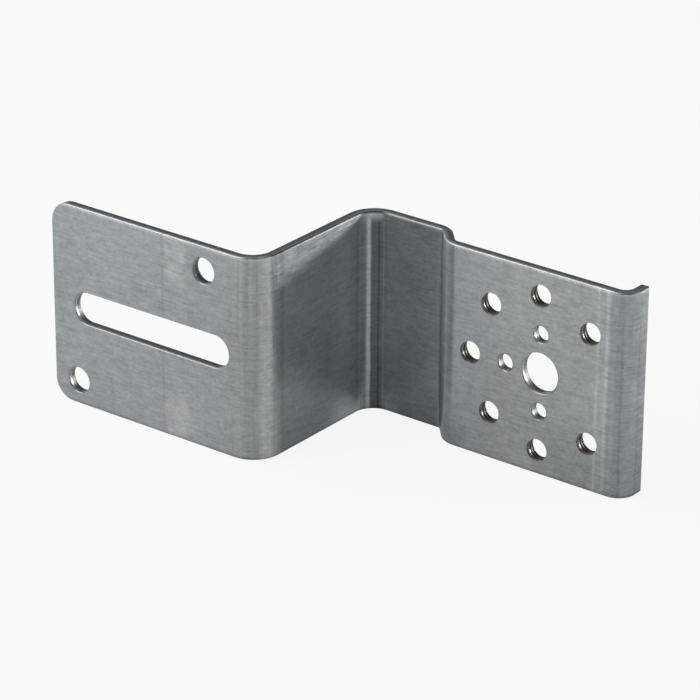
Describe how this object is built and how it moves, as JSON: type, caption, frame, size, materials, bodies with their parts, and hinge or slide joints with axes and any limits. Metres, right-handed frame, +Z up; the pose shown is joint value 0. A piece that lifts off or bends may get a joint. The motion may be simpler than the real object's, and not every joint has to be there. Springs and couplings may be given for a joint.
{
  "type": "stamped metal bracket",
  "caption": "Folded sheet-steel offset bracket with a slotted flange, a deep web, a joggled plate with a tapped bolt circle and a short stiffening lip.",
  "frame": {"origin": "under the middle of the whole bracket, on the plane that its lower cut edge stands on", "axes": "+X from the slotted flange towards the lip, +Y from the front of the sheet towards its back, +Z up along the bends"},
  "size_m": [0.1804, 0.0578, 0.066],
  "materials": {
    "zinc_steel": "satin zinc-plated rolled sheet steel, with a fine mill grain"
  },
  "bodies": {
    "root": {"bracket": "zinc_steel"}
  },
  "joints": []
}
